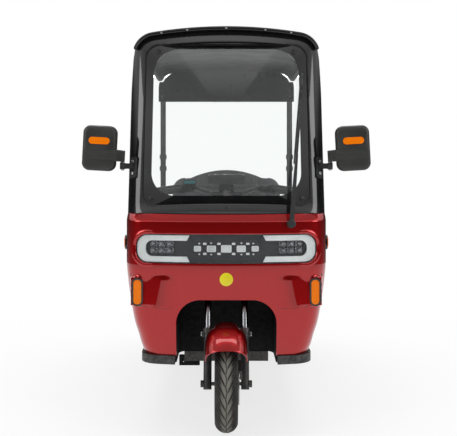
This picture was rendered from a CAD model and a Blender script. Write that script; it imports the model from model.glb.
import bpy
import bmesh
from math import sin, cos, asin, acos, sqrt, pi, radians, floor, exp
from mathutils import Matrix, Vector
from mathutils.bvhtree import BVHTree


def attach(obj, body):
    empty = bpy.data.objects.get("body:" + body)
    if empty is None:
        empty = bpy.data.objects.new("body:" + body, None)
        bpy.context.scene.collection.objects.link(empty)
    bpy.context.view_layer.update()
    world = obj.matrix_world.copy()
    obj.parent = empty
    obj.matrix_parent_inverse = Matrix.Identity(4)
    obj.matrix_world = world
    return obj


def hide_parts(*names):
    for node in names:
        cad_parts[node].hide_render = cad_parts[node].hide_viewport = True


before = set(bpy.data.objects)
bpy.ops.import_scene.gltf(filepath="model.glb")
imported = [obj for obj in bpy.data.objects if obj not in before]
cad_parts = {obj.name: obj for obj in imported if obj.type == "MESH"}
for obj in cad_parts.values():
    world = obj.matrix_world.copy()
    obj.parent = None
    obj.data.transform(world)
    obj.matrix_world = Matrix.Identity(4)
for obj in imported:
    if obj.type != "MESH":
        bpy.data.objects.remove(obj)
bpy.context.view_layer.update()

scene = bpy.context.scene
scene.view_settings.view_transform = "Standard"

viewer = {"place": (0.0, -4.47015, 1.130), "lens": 65.23, "shift": (0.0048, -0.1028)}
camera = bpy.data.objects.new("viewer", bpy.data.cameras.new("viewer"))
camera.data.sensor_width = 36
camera.data.sensor_fit = "HORIZONTAL"
camera.data.lens = viewer["lens"]
camera.data.shift_x, camera.data.shift_y = viewer["shift"]
camera.data.clip_end = 200
camera.location = viewer["place"]
camera.rotation_euler = (pi / 2, 0, 0)
scene.collection.objects.link(camera)
scene.camera = camera
print("camera set")

# sizes that several pieces share, in the drawing's millimetres
midY = 870.15
halfBody = 450
floorTop = 308
beltZ = 941
bowR = 1400
cornerReach = 75
screenY = 30
lean = radians(14)
rake = radians(20)
roofTop = 1796
axleZ = 205
wheelBase = 1550


def place(x, y, z):
    return Vector((x / 1000, (y - midY) / 1000, z / 1000))


def onScreen(x, y, z):
    return place(x, screenY + y * cos(lean) + z * sin(lean), beltZ - y * sin(lean) + z * cos(lean))


def onSteering(x, y, z):
    return place(x, 35 * cos(rake) + y * cos(rake) + z * sin(rake),
                 axleZ - 35 * sin(rake) - y * sin(rake) + z * cos(rake))


def clamp(v, lo=0.0, hi=1.0):
    return max(lo, min(hi, v))


def ease(a, b, v):
    t = clamp((v - a) / (b - a))
    return t * t * (3 - 2 * t)


def lerp(a, b, t):
    return a + (b - a) * t


# smooth curve through rows of numbers, first column is the key
def curveRow(rows, key):
    keys = [r[0] for r in rows]
    key = clamp(key, keys[0], keys[-1])
    i = max(0, min(len(rows) - 2, sum(1 for k in keys if k <= key) - 1))
    h = keys[i + 1] - keys[i]
    t = (key - keys[i]) / h

    def slope(j, c):
        if j == 0 or j == len(rows) - 1:
            return 0.0 if j else (rows[1][c] - rows[0][c]) / (keys[1] - keys[0])
        a = (rows[j][c] - rows[j - 1][c]) / (keys[j] - keys[j - 1])
        b = (rows[j + 1][c] - rows[j][c]) / (keys[j + 1] - keys[j])
        return 0.0 if a * b <= 0 else 2 * a * b / (a + b)

    out = []
    for c in range(1, len(rows[0])):
        p, q = rows[i][c], rows[i + 1][c]
        m, n = slope(i, c) * h, slope(i + 1, c) * h
        if i + 1 == len(rows) - 1:
            n = q - p
        out.append((2 * t**3 - 3 * t**2 + 1) * p + (t**3 - 2 * t**2 + t) * m
                   + (3 * t**2 - 2 * t**3) * q + (t**3 - t**2) * n)
    return out


def bowLine(halfW, reach, bow, front, back, inset=0, steps=(50, 26, 6)):
    arcX = halfW - reach
    a0 = asin(arcX / bow)
    r = reach / (1 - arcX / bow)
    cx = arcX - r * sin(a0)
    cy = front + bow * (1 - cos(a0)) + r * cos(a0)
    half = [((bow - inset) * sin(a0 * i / steps[0]), front + bow - (bow - inset) * cos(a0 * i / steps[0]))
            for i in range(steps[0] + 1)]
    for i in range(1, steps[1] + 1):
        a = a0 + (pi / 2 - a0) * i / steps[1]
        half.append((cx + (r - inset) * sin(a), cy - (r - inset) * cos(a)))
    half += [(halfW - inset, cy + (back - cy) * i / steps[2]) for i in range(1, steps[2] + 1)]
    return [(-x, y) for x, y in reversed(half[1:])] + half


def roundRect(w, h, r, n=10, cx=0.0, cy=0.0):
    out = []
    for q, (sx, sy) in enumerate(((1, 1), (-1, 1), (-1, -1), (1, -1))):
        for i in range(n + 1):
            a = pi / 2 * (q + i / n)
            out.append((cx + sx * (w / 2 - r) + r * cos(a), cy + sy * (h / 2 - r) + r * sin(a)))
    return out


# mesh making, with finishes given by name
def addPiece(name, verts, faces, finish=None, smooth=35):
    mesh = bpy.data.meshes.new(name)
    mesh.from_pydata([tuple(v) for v in verts], [], faces)
    piece = bpy.data.objects.new(name, mesh)
    scene.collection.objects.link(piece)
    bm = bmesh.new()
    bm.from_mesh(mesh)
    bmesh.ops.recalc_face_normals(bm, faces=bm.faces[:])
    bm.to_mesh(mesh)
    bm.free()
    shade(piece, smooth)
    if finish:
        dress(piece, finish)
    return piece


def dress(piece, finish):
    piece.data.materials.append(finishes[finish])


def shade(piece, angle=35):
    piece.data.polygons.foreach_set("use_smooth", [True] * len(piece.data.polygons))
    piece.data.set_sharp_from_angle(angle=radians(angle))
    piece.data.update()


def seat(piece, body, slot, *nodes):
    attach(piece, body)
    if nodes:
        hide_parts(*nodes)
    return piece



# quads between rows of points: loop joins each row's ends, ring joins the last row to the first
def gridFaces(rows, cols, first=0, loop=False, ring=False):
    out = []
    for r in range(rows if ring else rows - 1):
        near, far = first + r * cols, first + (r + 1) % rows * cols
        for c in range(cols if loop else cols - 1):
            d = (c + 1) % cols
            out.append((near + c, near + d, far + d, far + c))
    return out


def shellBetween(name, outer, inner, finish=None, smooth=35, loop=False):
    rows, cols = len(outer), len(outer[0])
    n = rows * cols
    verts = [p for row in outer for p in row] + [p for row in inner for p in row]
    faces = gridFaces(rows, cols, 0, loop) + gridFaces(rows, cols, n, loop)
    span = cols if loop else cols - 1
    for r in (0, rows - 1):
        faces += [(r * cols + c, r * cols + (c + 1) % cols, n + r * cols + (c + 1) % cols, n + r * cols + c)
                  for c in range(span)]
    if not loop:
        for c in (0, cols - 1):
            faces += [(r * cols + c, (r + 1) * cols + c, n + (r + 1) * cols + c, n + r * cols + c)
                      for r in range(rows - 1)]
    return addPiece(name, verts, faces, finish, smooth)


def prism(name, low, high, finish=None, smooth=35):
    n = len(low)
    faces = [tuple(range(n)), tuple(range(2 * n - 1, n - 1, -1))]
    faces += [(i, (i + 1) % n, n + (i + 1) % n, n + i) for i in range(n)]
    return addPiece(name, list(low) + list(high), faces, finish, smooth)


def bake(piece):
    bpy.context.view_layer.update()
    graph = bpy.context.evaluated_depsgraph_get()
    mesh = bpy.data.meshes.new_from_object(piece.evaluated_get(graph), depsgraph=graph)
    piece.modifiers.clear()
    piece.data = mesh



def carve(piece, cutters, smooth=35):
    for cutter in cutters:
        cut = piece.modifiers.new("cut", "BOOLEAN")
        cut.object = cutter
        cut.operation = "DIFFERENCE"
        cut.solver = "EXACT"
    bake(piece)
    for cutter in cutters:
        bpy.data.objects.remove(cutter, do_unlink=True)
    shade(piece, smooth)


def softEdges(piece, width, angle=40, segments=2):
    bevel = piece.modifiers.new("softEdges", "BEVEL")
    bevel.width = width
    bevel.segments = segments
    bevel.limit_method = "ANGLE"
    bevel.angle_limit = radians(angle)
    bevel.harden_normals = False
    bake(piece)
    shade(piece, 50)


# rings of points, one after another, closed at both ends
def stackRings(name, rings, finish=None, smooth=35):
    cols = len(rings[0])
    verts = [p for ring in rings for p in ring]
    faces = gridFaces(len(rings), cols, 0, True)
    faces.append(tuple(range(cols)))
    faces.append(tuple(range(len(verts) - 1, len(verts) - 1 - cols, -1)))
    return addPiece(name, verts, faces, finish, smooth)


# an outline carried along a path, its second number measured along up
def sweepPath(name, path, outline, up, finish=None, closed=False, smooth=40):
    rings = []
    n = len(path)
    for i, p in enumerate(path):
        a = path[(i - 1) % n] if closed or i else p
        b = path[(i + 1) % n] if closed or i < n - 1 else p
        along = (b - a).normalized()
        side = along.cross(Vector(up)).normalized()
        lift = side.cross(along).normalized()
        rings.append([p + side * s / 1000 + lift * t / 1000 for s, t in outline])
    if closed:
        verts = [p for ring in rings for p in ring]
        return addPiece(name, verts, gridFaces(n, len(outline), 0, True, True), finish, smooth)
    return stackRings(name, rings, finish, smooth)


def circleOutline(r, n=10):
    return [(r * cos(2 * pi * i / n), r * sin(2 * pi * i / n)) for i in range(n)]


# many small turned pieces in one mesh: each place is (point, direction), profile is (radius, height) in mm
def turnedSet(name, seatOn, finish, sides, places, profile):
    verts, faces = [], []
    for point, direction in places:
        axis = Vector(direction).normalized()
        side = axis.orthogonal().normalized()
        other = axis.cross(side)
        base = len(verts)
        for r, h in profile:
            for i in range(sides):
                a = 2 * pi * i / sides
                verts.append(point + (side * cos(a) + other * sin(a)) * (r / 1000) + axis * (h / 1000))
        faces += gridFaces(len(profile), sides, base, True)
        faces.append(tuple(range(base, base + sides)))
        faces.append(tuple(range(base + len(profile) * sides - 1, base + (len(profile) - 1) * sides - 1, -1)))
    return seat(addPiece(name, verts, faces, finish), *seatOn)


def screwProfile(r, h):
    return [(r, -1), (r, h * 0.35), (r * 0.86, h * 0.8), (r * 0.6, h), (r * 0.46, h), (r * 0.42, h * 0.3),
            (0.05, h * 0.3)]


# cutter with an upright outline, between two distances from the front axle
def cutThrough(name, outline, near, far):
    return prism(name, [place(x, near, z) for x, z in outline], [place(x, far, z) for x, z in outline])


def sideName(s):
    return "left" if s > 0 else "right"


# shader groups that several finishes share
def startGroup(name, inputs, outputs):
    tree = bpy.data.node_groups.new(name, "ShaderNodeTree")
    for socket, kind, value in inputs:
        made = tree.interface.new_socket(name=socket, in_out="INPUT", socket_type="NodeSocket" + kind)
        made.default_value = value
    for socket, kind in outputs:
        tree.interface.new_socket(name=socket, in_out="OUTPUT", socket_type="NodeSocket" + kind)
    return tree, tree.nodes.new("NodeGroupInput").outputs, tree.nodes.new("NodeGroupOutput").inputs


# links a socket, or sets a plain value
def feed(tree, value, socket):
    if hasattr(value, "links"):
        tree.links.new(value, socket)
    else:
        socket.default_value = value


def addNode(tree, kind, values=None, **settings):
    node = tree.nodes.new("ShaderNode" + kind)
    for key, value in settings.items():
        setattr(node, key, value)
    for key, value in (values or {}).items():
        feed(tree, value, node.inputs[key])
    return node


def mixColour(tree, factor, a, b, blend="MIX"):
    return addNode(tree, "Mix", {0: factor, 6: a, 7: b}, data_type="RGBA", blend_type=blend).outputs[2]


def spread(tree, value, lowIn, highIn, lowOut, highOut):
    return addNode(tree, "MapRange", {"Value": value, "From Min": lowIn, "From Max": highIn,
                                      "To Min": lowOut, "To Max": highOut}).outputs["Result"]


def combine(tree, operation, a, b):
    return addNode(tree, "Math", {0: a, 1: b}, operation=operation).outputs[0]


def objectSpace(tree):
    return addNode(tree, "TexCoord").outputs["Object"]


def noise(tree, where, scale, detail, **more):
    values = {"Vector": where, "Scale": scale, "Detail": detail}
    values.update(more)
    return addNode(tree, "TexNoise", values).outputs[0]


def makeFlakes():
    tree, into, out = startGroup("paintFlakes", [
        ("Base", "Color", (0.3, 0.01, 0.01, 1)), ("Flake", "Color", (0.6, 0.05, 0.05, 1)),
        ("Scale", "Float", 1500.0),
    ], [("Color", "Color"), ("Height", "Float")])
    where = objectSpace(tree)
    cells = addNode(tree, "TexVoronoi", {"Vector": where, "Scale": into["Scale"]})
    pick = addNode(tree, "SeparateColor", {0: cells.outputs["Color"]})
    glint = spread(tree, pick.outputs[0], 0.6, 1.0, 0.0, 0.55)
    feed(tree, mixColour(tree, glint, into["Base"], into["Flake"]), out["Color"])
    feed(tree, noise(tree, where, 160.0, 2.0), out["Height"])
    return tree


def makeGrain():
    tree, into, out = startGroup("mouldGrain", [
        ("Scale", "Float", 600.0), ("Tone", "Float", 0.15), ("Rough", "Float", 0.5),
    ], [("Height", "Float"), ("Shade", "Float"), ("Roughness", "Float")])
    where = objectSpace(tree)
    feed(tree, noise(tree, where, into["Scale"], 5.0, Roughness=0.65), out["Height"])
    broad = noise(tree, where, 9.0, 4.0)
    darkest = combine(tree, "SUBTRACT", 1.0, into["Tone"])
    feed(tree, spread(tree, broad, 0.3, 0.7, darkest, 1.0), out["Shade"])
    more = combine(tree, "ADD", into["Rough"], 0.12)
    less = combine(tree, "SUBTRACT", into["Rough"], 0.08)
    feed(tree, spread(tree, broad, 0.3, 0.7, less, more), out["Roughness"])
    return tree


def makeDust():
    tree, into, out = startGroup("roadDust", [
        ("Color", "Color", (0.1, 0.1, 0.1, 1)), ("Dust", "Color", (0.32, 0.29, 0.25, 1)),
        ("Reach", "Float", 0.35), ("Amount", "Float", 0.3),
    ], [("Color", "Color"), ("Mask", "Float")])
    where = objectSpace(tree)
    split = addNode(tree, "SeparateXYZ", {0: where})
    height = spread(tree, split.outputs["Z"], 0.0, into["Reach"], 1.0, 0.0)
    cloud = spread(tree, noise(tree, where, 14.0, 8.0, Roughness=0.7), 0.35, 0.72, 0.0, 1.0)
    mask = combine(tree, "MULTIPLY", combine(tree, "MULTIPLY", height, cloud), into["Amount"])
    feed(tree, mixColour(tree, mask, into["Color"], into["Dust"]), out["Color"])
    feed(tree, mask, out["Mask"])
    return tree


def makeWear():
    tree, into, out = startGroup("edgeWear", [
        ("Color", "Color", (0.1, 0.1, 0.1, 1)), ("Bare", "Color", (0.4, 0.4, 0.4, 1)), ("Amount", "Float", 0.4),
    ], [("Color", "Color"), ("Mask", "Float")])
    edge = spread(tree, addNode(tree, "NewGeometry").outputs["Pointiness"], 0.53, 0.62, 0.0, 1.0)
    spots = spread(tree, noise(tree, objectSpace(tree), 60.0, 6.0), 0.4, 0.65, 0.0, 1.0)
    mask = combine(tree, "MULTIPLY", combine(tree, "MULTIPLY", edge, spots), into["Amount"])
    feed(tree, mixColour(tree, mask, into["Color"], into["Bare"]), out["Color"])
    feed(tree, mask, out["Mask"])
    return tree


def makeVinyl():
    tree, into, out = startGroup("vinylGrain", [
        ("Scale", "Float", 420.0), ("Color", "Color", (0.03, 0.03, 0.033, 1)),
    ], [("Height", "Float"), ("Color", "Color"), ("Roughness", "Float")])
    where = objectSpace(tree)
    cells = addNode(tree, "TexVoronoi", {"Vector": where, "Scale": into["Scale"]}, feature="DISTANCE_TO_EDGE")
    pebble = spread(tree, cells.outputs["Distance"], 0.0, 0.25, 0.0, 1.0)
    folds = noise(tree, where, 22.0, 5.0, Distortion=0.6)
    feed(tree, combine(tree, "ADD", pebble, combine(tree, "MULTIPLY", folds, 1.6)), out["Height"])
    rubbed = spread(tree, folds, 0.3, 0.75, 0.0, 0.55)
    feed(tree, mixColour(tree, rubbed, into["Color"], (0.075, 0.074, 0.075, 1)), out["Color"])
    feed(tree, spread(tree, folds, 0.3, 0.7, 0.38, 0.58), out["Roughness"])
    return tree


def makeBrushed():
    tree, into, out = startGroup("brushedMetal", [
        ("Scale", "Vector", (40.0, 400.0, 400.0)), ("Rough", "Float", 0.25),
    ], [("Height", "Float"), ("Shade", "Float"), ("Roughness", "Float")])
    stretch = addNode(tree, "Mapping", {"Vector": objectSpace(tree), "Scale": into["Scale"]})
    lines = noise(tree, stretch.outputs[0], 1.0, 4.0)
    feed(tree, lines, out["Height"])
    feed(tree, spread(tree, lines, 0.3, 0.7, 0.82, 1.0), out["Shade"])
    rougher = combine(tree, "ADD", into["Rough"], 0.14)
    feed(tree, spread(tree, lines, 0.3, 0.7, into["Rough"], rougher), out["Roughness"])
    return tree


paintFlakes, mouldGrain, roadDust = makeFlakes(), makeGrain(), makeDust()
edgeWear, vinylGrain, brushedMetal = makeWear(), makeVinyl(), makeBrushed()
print("shader groups made")

finishes = {}


def startFinish(name, sockets):
    finishes[name] = bpy.data.materials.new(name)
    finishes[name].use_nodes = True
    tree = finishes[name].node_tree
    shader = tree.nodes["Principled BSDF"]
    for key, value in sockets.items():
        shader.inputs[key].default_value = value
    return tree, shader


def useGroup(tree, group, values):
    return addNode(tree, "Group", values, node_tree=group)


def bump(tree, shader, height, strength, distance):
    relief = addNode(tree, "Bump", {"Height": height, "Strength": strength, "Distance": distance})
    feed(tree, relief.outputs[0], shader.inputs["Normal"])


def mixShaders(tree, factor, first, second, target):
    mix = addNode(tree, "MixShader", {0: factor, 1: first.outputs[0], 2: second.outputs[0]})
    feed(tree, mix.outputs[0], target.inputs["Surface"])


def metalPaint(name, base, flake, dustAmount):
    tree, shader = startFinish(name, {"Metallic": 0.86, "Specular IOR Level": 0.12, "Coat Weight": 1.0,
                                      "Coat Roughness": 0.02, "Coat IOR": 1.5})
    flakes = useGroup(tree, paintFlakes, {"Base": base, "Flake": flake, "Scale": 1700.0})
    dust = useGroup(tree, roadDust, {"Color": flakes.outputs["Color"], "Dust": (0.30, 0.20, 0.17, 1),
                                     "Reach": 0.5, "Amount": dustAmount})
    feed(tree, dust.outputs["Color"], shader.inputs["Base Color"])
    feed(tree, spread(tree, dust.outputs["Mask"], 0.0, 0.4, 0.3, 0.55), shader.inputs["Roughness"])
    bump(tree, shader, flakes.outputs["Height"], 0.03, 0.0006)


def plastic(name, colour, rough, scale, depth, coat=0.0, dustReach=0.5, dustAmount=0.25, wear=0.25,
            bare=(0.2, 0.2, 0.2, 1), shine=0.4):
    tree, shader = startFinish(name, {"Coat Weight": coat, "Coat Roughness": 0.03, "Specular IOR Level": shine})
    grain = useGroup(tree, mouldGrain, {"Scale": scale, "Tone": 0.25, "Rough": rough})
    toned = mixColour(tree, 1.0, colour, grain.outputs["Shade"], "MULTIPLY")
    worn = useGroup(tree, edgeWear, {"Color": toned, "Bare": bare, "Amount": wear})
    dust = useGroup(tree, roadDust, {"Color": worn.outputs["Color"], "Reach": dustReach, "Amount": dustAmount})
    feed(tree, dust.outputs["Color"], shader.inputs["Base Color"])
    feed(tree, grain.outputs["Roughness"], shader.inputs["Roughness"])
    bump(tree, shader, grain.outputs["Height"], depth, 0.0008)


def metal(name, colour, rough, scale, metallic=1.0, dustAmount=0.15, coat=0.0):
    tree, shader = startFinish(name, {"Metallic": metallic, "Coat Weight": coat})
    lines = useGroup(tree, brushedMetal, {"Scale": scale, "Rough": rough})
    toned = mixColour(tree, 1.0, colour, lines.outputs["Shade"], "MULTIPLY")
    dust = useGroup(tree, roadDust, {"Color": toned, "Reach": 0.45, "Amount": dustAmount})
    feed(tree, dust.outputs["Color"], shader.inputs["Base Color"])
    feed(tree, lines.outputs["Roughness"], shader.inputs["Roughness"])
    bump(tree, shader, lines.outputs["Height"], 0.06, 0.0004)


# clear pieces let light for shadows and soft bounces straight through
def clearFinish(name, colour, ior, dusty):
    tree, shader = startFinish(name, {"Transmission Weight": 1.0, "IOR": ior, "Roughness": 0.0})
    haze = useGroup(tree, roadDust, {"Color": colour, "Dust": (0.75, 0.74, 0.72, 1),
                                     "Reach": 1.5, "Amount": dusty})
    feed(tree, haze.outputs["Color"], shader.inputs["Base Color"])
    paths = addNode(tree, "LightPath").outputs
    either = combine(tree, "MAXIMUM", paths["Is Shadow Ray"], paths["Is Diffuse Ray"])
    through = addNode(tree, "BsdfTransparent", {"Color": (0.93, 0.95, 0.95, 1)})
    mixShaders(tree, either, shader, through, tree.nodes["Material Output"])


def lensFinish(name, colour, deep, ribs):
    tree, shader = startFinish(name, {"Roughness": 0.2, "Coat Weight": 0.2, "Coat Roughness": 0.02,
                                      "Specular IOR Level": 0.1, "Subsurface Weight": 0.25,
                                      "Subsurface Radius": (0.01, 0.004, 0.001)})
    wave = addNode(tree, "TexWave", {"Vector": objectSpace(tree), "Scale": ribs, "Distortion": 0.0},
                   bands_direction="Z")
    feed(tree, mixColour(tree, wave.outputs["Fac"], deep, colour), shader.inputs["Base Color"])
    bump(tree, shader, wave.outputs["Fac"], 0.12, 0.001)


def tyreFinish(name, colour, dusty):
    tree, shader = startFinish(name, {"Specular IOR Level": 0.35})
    grain = useGroup(tree, mouldGrain, {"Scale": 420.0, "Tone": 0.3, "Rough": 0.74})
    toned = mixColour(tree, 1.0, colour, grain.outputs["Shade"], "MULTIPLY")
    crown = addNode(tree, "Attribute", attribute_name="crown")
    rubbed = mixColour(tree, crown.outputs["Fac"], toned, dusty)
    worn = useGroup(tree, edgeWear, {"Color": rubbed, "Bare": (0.10, 0.095, 0.085, 1), "Amount": 0.5})
    dust = useGroup(tree, roadDust, {"Color": worn.outputs["Color"], "Dust": (0.20, 0.18, 0.15, 1),
                                     "Reach": 0.6, "Amount": 0.35})
    feed(tree, dust.outputs["Color"], shader.inputs["Base Color"])
    feed(tree, grain.outputs["Roughness"], shader.inputs["Roughness"])
    bump(tree, shader, grain.outputs["Height"], 0.3, 0.0006)


def seatFinish(name, colour):
    tree, shader = startFinish(name, {"Sheen Weight": 0.08, "Sheen Roughness": 0.4})
    grain = useGroup(tree, vinylGrain, {"Scale": 420.0, "Color": colour})
    feed(tree, grain.outputs["Color"], shader.inputs["Base Color"])
    feed(tree, grain.outputs["Roughness"], shader.inputs["Roughness"])
    bump(tree, shader, grain.outputs["Height"], 0.35, 0.0007)


# paint, then plastics as colour, roughness, grain scale and grain depth
metalPaint("redPaint", (0.36, 0.0035, 0.005, 1), (0.68, 0.018, 0.018, 1), 0.1)
plastic("blackGloss", (0.008, 0.008, 0.009, 1), 0.2, 260.0, 0.02, coat=1.0, dustAmount=0.03, wear=0.03,
        shine=0.1)
plastic("blackMatte", (0.017, 0.017, 0.018, 1), 0.5, 1400.0, 0.35)
plastic("linerBlack", (0.006, 0.006, 0.0065, 1), 0.6, 900.0, 0.15, dustReach=0.6, dustAmount=0.015, wear=0.05,
        shine=0.2)
plastic("frameCoat", (0.016, 0.016, 0.018, 1), 0.42, 900.0, 0.2, coat=0.25, dustAmount=0.4, wear=0.4,
        bare=(0.16, 0.12, 0.1, 1))
plastic("rubber", (0.014, 0.014, 0.015, 1), 0.7, 1100.0, 0.4)
plastic("gripRubber", (0.016, 0.016, 0.017, 1), 0.75, 380.0, 0.9)
plastic("battery", (0.05, 0.055, 0.065, 1), 0.5, 900.0, 0.3)
plastic("lampGrey", (0.046, 0.046, 0.052, 1), 0.5, 500.0, 0.05, dustAmount=0.0, wear=0.1, shine=0.06)
plastic("roofSatin", (0.011, 0.011, 0.012, 1), 0.42, 420.0, 0.12, dustReach=0.3, dustAmount=0.05, wear=0.05,
        shine=0.3)
plastic("mirrorCase", (0.034, 0.034, 0.032, 1), 0.42, 700.0, 0.25, dustAmount=0.05, wear=0.1)
plastic("cellFace", (0.84, 0.84, 0.83, 1), 0.3, 500.0, 0.05, dustAmount=0.0, wear=0.0, shine=0.2)
plastic("lampWhite", (0.88, 0.89, 0.88, 1), 0.32, 300.0, 0.04, coat=0.3, dustAmount=0.0, wear=0.0)
plastic("yellow", (0.90, 0.78, 0.012, 1), 0.3, 500.0, 0.03, coat=0.4, dustAmount=0.0, wear=0.0)
plastic("teal", (0.02, 0.30, 0.34, 1), 0.3, 500.0, 0.05, coat=0.4, dustAmount=0.0, wear=0.0)
plastic("thread", (0.30, 0.29, 0.28, 1), 0.6, 2500.0, 0.6, dustAmount=0.0)
# metals as colour, roughness and stretch of the brushing
metal("chrome", (0.26, 0.265, 0.275, 1), 0.09, (300.0, 300.0, 30.0))
metal("steel", (0.48, 0.48, 0.49, 1), 0.28, (60.0, 420.0, 420.0))
metal("alloy", (0.13, 0.132, 0.14, 1), 0.34, (300.0, 60.0, 60.0), 0.85, 0.3, 0.3)
metal("motorAlloy", (0.27, 0.275, 0.285, 1), 0.42, (90.0, 160.0, 160.0), 0.9, 0.5)
metal("darkSteel", (0.06, 0.06, 0.063, 1), 0.4, (90.0, 300.0, 300.0), 0.7, 0.4)
metal("reflector", (0.36, 0.37, 0.39, 1), 0.2, (200.0, 200.0, 200.0), 1.0, 0.0)
metal("mirror", (0.85, 0.87, 0.88, 1), 0.01, (8.0, 8.0, 8.0), 1.0, 0.0)
clearFinish("glass", (0.93, 0.96, 0.95, 1), 1.45, 0.04)
clearFinish("clearLens", (0.97, 0.98, 0.98, 1), 1.4, 0.0)
lensFinish("amber", (1.0, 0.25, 0.002, 1), (0.86, 0.17, 0.001, 1), 60.0)
lensFinish("redLens", (0.62, 0.015, 0.02, 1), (0.35, 0.006, 0.01, 1), 45.0)
tyreFinish("tyreRubber", (0.020, 0.020, 0.021, 1), (0.19, 0.184, 0.155, 1))
seatFinish("seatVinyl", (0.022, 0.022, 0.025, 1))
print("finishes made")

# stage: pale floor that turns to plain white away from the part
stage = {"half": 40.0, "near": 0.9, "far": 2.6, "nearWhite": 0.74, "floorTone": (0.9, 0.9, 0.9, 1),
         "skyTone": (0.97, 0.98, 1.0, 1), "skyLevel": 0.55}


# one for the rays that see the backdrop as plain white, and nothing for soft bounces
def seenRay(tree):
    paths = addNode(tree, "LightPath").outputs
    glossy = combine(tree, "MAXIMUM", paths["Is Camera Ray"], paths["Is Glossy Ray"])
    return combine(tree, "MAXIMUM", glossy, paths["Is Transmission Ray"])


def layStage():
    s = stage["half"]
    floorPiece = addPiece("floor", [(-s, -s, 0), (s, -s, 0), (s, s, 0), (-s, s, 0)], [(0, 1, 2, 3)])
    tree, shader = startFinish("paleFloor", {"Roughness": 0.8, "Base Color": stage["floorTone"],
                                             "Specular IOR Level": 0.1})
    length = addNode(tree, "VectorMath", {0: objectSpace(tree)}, operation="LENGTH")
    away = spread(tree, length.outputs["Value"], stage["near"], stage["far"], stage["nearWhite"], 1.0)
    white = addNode(tree, "Emission", {"Color": (1, 1, 1, 1), "Strength": 1.0})
    share = combine(tree, "MULTIPLY", away, seenRay(tree))
    mixShaders(tree, share, shader, white, tree.nodes["Material Output"])
    dress(floorPiece, "paleFloor")

    scene.world = bpy.data.worlds.new("studio")
    scene.world.use_nodes = True
    tree = scene.world.node_tree
    tree.nodes.clear()
    soft = addNode(tree, "Background", {"Color": stage["skyTone"], "Strength": stage["skyLevel"]})
    white = addNode(tree, "Background", {"Color": (1, 1, 1, 1), "Strength": 1.0})
    mixShaders(tree, seenRay(tree), soft, white, addNode(tree, "OutputWorld"))


# dark curtain round the studio, met by reflections alone: rows of height and brightness
curtain = {
    "radius": 6.0, "sides": 72,
    "rows": [(0.0, 0.03), (2.3, 0.03), (2.8, 0.15), (3.5, 0.8), (4.3, 1.0), (5.1, 0.6), (5.7, 1.7), (6.7, 1.9),
             (6.8, 0.45)],
}


def hangCurtain():
    n, rows = curtain["sides"], curtain["rows"]
    ring = circleOutline(curtain["radius"], n)
    faces = gridFaces(len(rows), n, 0, True) + [tuple(range((len(rows) - 1) * n, len(rows) * n))]
    cloth = addPiece("studioCurtain", [(x, y, z) for z, _ in rows for x, y in ring], faces)
    tree, shader = startFinish("curtainGrey", {"Base Color": (0, 0, 0, 1), "Roughness": 1.0,
                                               "Specular IOR Level": 0.0, "Emission Strength": 1.0})
    split = addNode(tree, "SeparateXYZ", {0: objectSpace(tree)})
    top = rows[-1][0]
    ramp = addNode(tree, "ValToRGB", {0: spread(tree, split.outputs["Z"], 0.0, top, 0.0, 1.0)})
    while len(ramp.color_ramp.elements) < len(rows):
        ramp.color_ramp.elements.new(0.5)
    for element, (z, tone) in zip(ramp.color_ramp.elements, rows):
        element.position = z / top
        element.color = (tone, tone, tone, 1)
    feed(tree, ramp.outputs[0], shader.inputs["Emission Color"])
    dress(cloth, "curtainGrey")
    cloth.visible_camera = cloth.visible_diffuse = cloth.visible_transmission = cloth.visible_shadow = False


# soft boxes: name, place, aim, width, height, watts
softBoxes = [
    ("boxOverhead", (0.0, 0.45, 3.5), (0.0, 0.2, 0.8), 3.2, 2.2, 66),
    ("boxLeft", (-3.1, -2.4, 2.3), (0.0, -0.6, 0.9), 1.6, 1.9, 38),
    ("boxRight", (3.1, -2.4, 2.3), (0.0, -0.6, 0.9), 1.6, 1.9, 38),
    ("boxBehind", (0.0, 3.6, 2.6), (0.0, 0.5, 0.9), 2.4, 1.2, 30),
]


def hangLights():
    for name, at, aim, width, height, watts in softBoxes:
        lamp = bpy.data.lights.new(name, "AREA")
        lamp.shape = "RECTANGLE"
        lamp.size, lamp.size_y = width, height
        lamp.energy = watts
        box = bpy.data.objects.new(name, lamp)
        box.location = at
        box.rotation_euler = (Vector(aim) - Vector(at)).to_track_quat("-Z", "Y").to_euler()
        box.visible_camera = False
        scene.collection.objects.link(box)


layStage()
hangCurtain()
hangLights()
print("stage and lights set")

# front panel: rows are share of the height, tuck of the sides and set-back of the front
panel = {
    "rows": [(0, 79, 66), (0.06, 64, 56), (0.13, 52, 47), (0.23, 33, 36), (0.37, 18, 22), (0.52, 6, 8),
             (0.65, 0, 0), (0.9, 0, 0.2), (0.946, 0, 0.6), (0.951, 0, 1.8), (0.957, 0, 4.4), (1, 3, 28)],
    "back": 399.7, "wall": 12, "rowCount": 124, "crease": (0.944, 0.9472, 0.9495, 0.9522, 0.9545, 0.958),
    "podTop": 665, "podMiddle": 597, "podLow": (527, 545), "podInner": 203, "podOuter": 360,
    "podEnd": (421, 429), "podStart": 11, "podFront": 53, "podLean": 0.035, "cutFrom": -20,
    "lampHole": (799, 129, 52.5), "lampAt": 790,
    "archHalf": 222, "archCorner": 110, "archLow": 290, "archSpring": 455,
    "turnHole": (50.8, 124.8, 25), "turnAt": (393, 596), "turnDepth": 76.3,
}


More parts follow.
